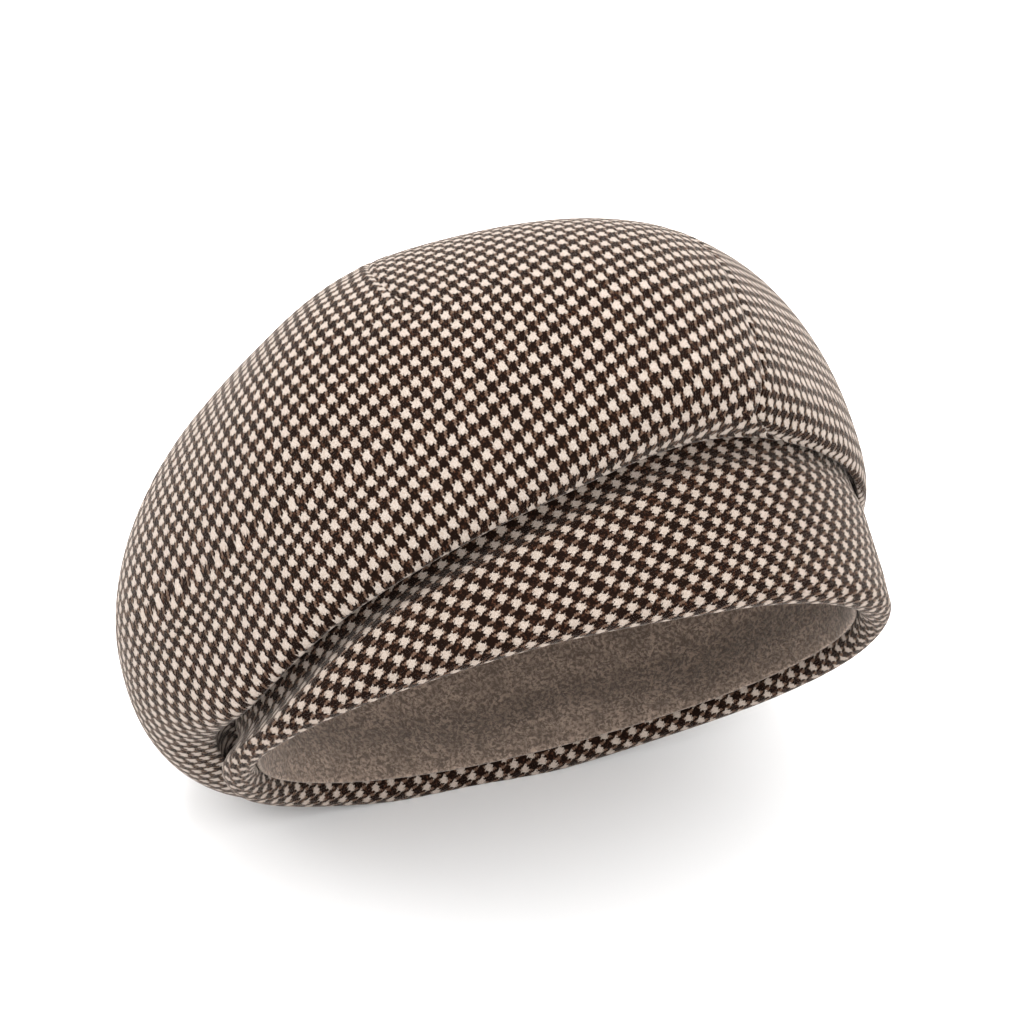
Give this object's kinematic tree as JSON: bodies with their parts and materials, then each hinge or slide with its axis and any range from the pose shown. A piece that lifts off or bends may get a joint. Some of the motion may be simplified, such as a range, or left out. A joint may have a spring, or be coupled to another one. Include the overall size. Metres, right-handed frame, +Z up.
{
  "type": "beanie",
  "caption": "Slouch beanie in checked wool cloth with a plain band, a turned-up hem and a felt lining, lying on its side with the opening towards the viewer.",
  "frame": {"origin": "on the table, under the middle of the lying hat's bounding box", "axes": "+Z up from the table, +X along the hat's longest extent, with the opening facing -Y and down"},
  "size_m": [0.2566, 0.225, 0.2038],
  "materials": {
    "crown_cloth": "brushed wool in a small dark brown and cream houndstooth check",
    "band_cloth": "the same wool cut on the bias",
    "lining_felt": "matt taupe felt"
  },
  "bodies": {
    "root": {"crown_back": "crown_cloth", "crown_front": "crown_cloth", "band": "band_cloth", "lining": "lining_felt"}
  },
  "joints": []
}
